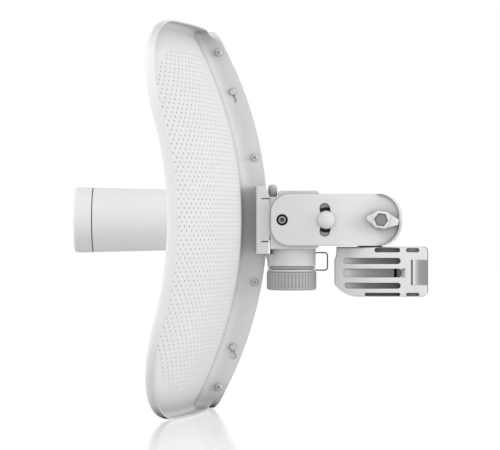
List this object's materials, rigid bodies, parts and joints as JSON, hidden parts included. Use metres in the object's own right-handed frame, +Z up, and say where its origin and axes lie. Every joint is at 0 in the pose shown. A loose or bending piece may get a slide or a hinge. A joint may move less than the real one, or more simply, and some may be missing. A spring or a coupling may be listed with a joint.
{
  "type": "outdoor wireless bridge",
  "caption": "Dish antenna with built-in radio, tilting fork arm and ribbed pole clamp, for a long outdoor wireless link.",
  "frame": {"origin": "on the pole's axis at the mid-height of the pole saddle", "axes": "+Z up along the pole, -X towards the far end of the link (the dish looks along -X), +Y to the right as the dish looks back at the pole"},
  "size_m": [0.3193, 0.4, 0.34],
  "materials": {
    "coated_sheet": "white powder coat, satin",
    "glass_filled_white": "glass-filled, fine texture",
    "white_plastic": "matt moulded",
    "grey_plastic": "matt moulded",
    "black_plastic": "matt",
    "clear_plastic": "clear",
    "painted_bolt": "satin white",
    "zinc_steel": "zinc plated",
    "tin_plate": "tin plated",
    "bare_aluminium": "bare",
    "gold_contact": "plated",
    "grey_wire": "coated wire",
    "seal_rubber": "matt",
    "pale_seal": "matt silicone",
    "soft_pad": "soft",
    "board_laminate": "solder mask"
  },
  "bodies": {
    "pole_mount": {"pole_clamp": "glass_filled_white"},
    "arm": {"arm": "glass_filled_white", "clamp_nut": "zinc_steel", "pivot_washers": "black_plastic"},
    "radio_dish": {"reflector_near": "coated_sheet", "reflector_far": "coated_sheet", "alignment_studs": "zinc_steel", "seam_screws": "zinc_steel", "seam_nuts": "zinc_steel", "feed_tube": "white_plastic", "feed_cap": "white_plastic", "subreflector": "bare_aluminium", "radiator": "board_laminate", "radio_board": "board_laminate", "shield_cans": "tin_plate", "board_chips": "black_plastic", "thermal_pad": "soft_pad", "heat_spreader": "bare_aluminium", "saddle": "white_plastic", "rear_housing": "white_plastic", "housing_gasket": "seal_rubber", "pivot_screws": "zinc_steel", "tilt_lock_bolt": "painted_bolt", "lock_sleeve": "zinc_steel", "tilt_lock_washer": "zinc_steel", "tilt_lock_nut": "zinc_steel", "lock_screw_washer": "zinc_steel", "ethernet_jack": "tin_plate", "jack_contacts": "gold_contact", "reset_switch": "black_plastic", "status_light_pipe": "clear_plastic", "seal_ring": "pale_seal"},
    "wing_carrier": {"wing_washer": "zinc_steel"},
    "wing": {"wing_knob": "white_plastic", "clamp_bolt": "zinc_steel"},
    "lock_knob": {"lock_screw": "grey_plastic"},
    "reset": {"reset_button": "grey_plastic"},
    "cap_carrier": {"swivel_ring": "white_plastic", "cap_tether": "grey_wire"},
    "cap": {"port_cap": "grey_plastic", "cable_grommet": "seal_rubber"}
  },
  "joints": [
    {"name": "arm_swivel", "type": "hinge", "parent": "pole_mount", "child": "arm", "pos_m": [-0.0561, 0, 0.0463], "axis": [0, 1, 0], "range_deg": [0, 45]},
    {"name": "dish_tilt", "type": "hinge", "parent": "arm", "child": "radio_dish", "pos_m": [-0.1436, 0, 0.0463], "axis": [0, 1, 0], "range_deg": [-15, 15]},
    {"name": "wing_travel", "type": "slide", "parent": "arm", "child": "wing_carrier", "axis": [0, -1, 0], "range_m": [0, 0.003]},
    {"name": "wing_turn", "type": "hinge", "parent": "wing_carrier", "child": "wing", "pos_m": [-0.0561, 0, 0.0463], "axis": [0, -1, 0], "range_deg": [0, 1080]},
    {"name": "lock_turn", "type": "hinge", "parent": "radio_dish", "child": "lock_knob", "pos_m": [-0.1516, 0, 0.07], "axis": [0, 0, 1], "range_deg": [0, 1080]},
    {"name": "reset_press", "type": "slide", "parent": "radio_dish", "child": "reset", "axis": [0, 0, 1], "range_m": [0, 0.0006]},
    {"name": "cap_travel", "type": "slide", "parent": "radio_dish", "child": "cap_carrier", "axis": [0, 0, -1], "range_m": [0, 0.006]},
    {"name": "cap_turn", "type": "hinge", "parent": "cap_carrier", "child": "cap", "pos_m": [-0.1347, 0, 0], "axis": [0, 0, -1], "range_deg": [0, 720]}
  ],
  "couplings": [
    {"joint": "wing_turn", "follows": "wing_travel", "rad_per_m": 6283.2},
    {"joint": "cap_travel", "follows": "cap_turn", "m_per_rad": 0.00047746}
  ]
}
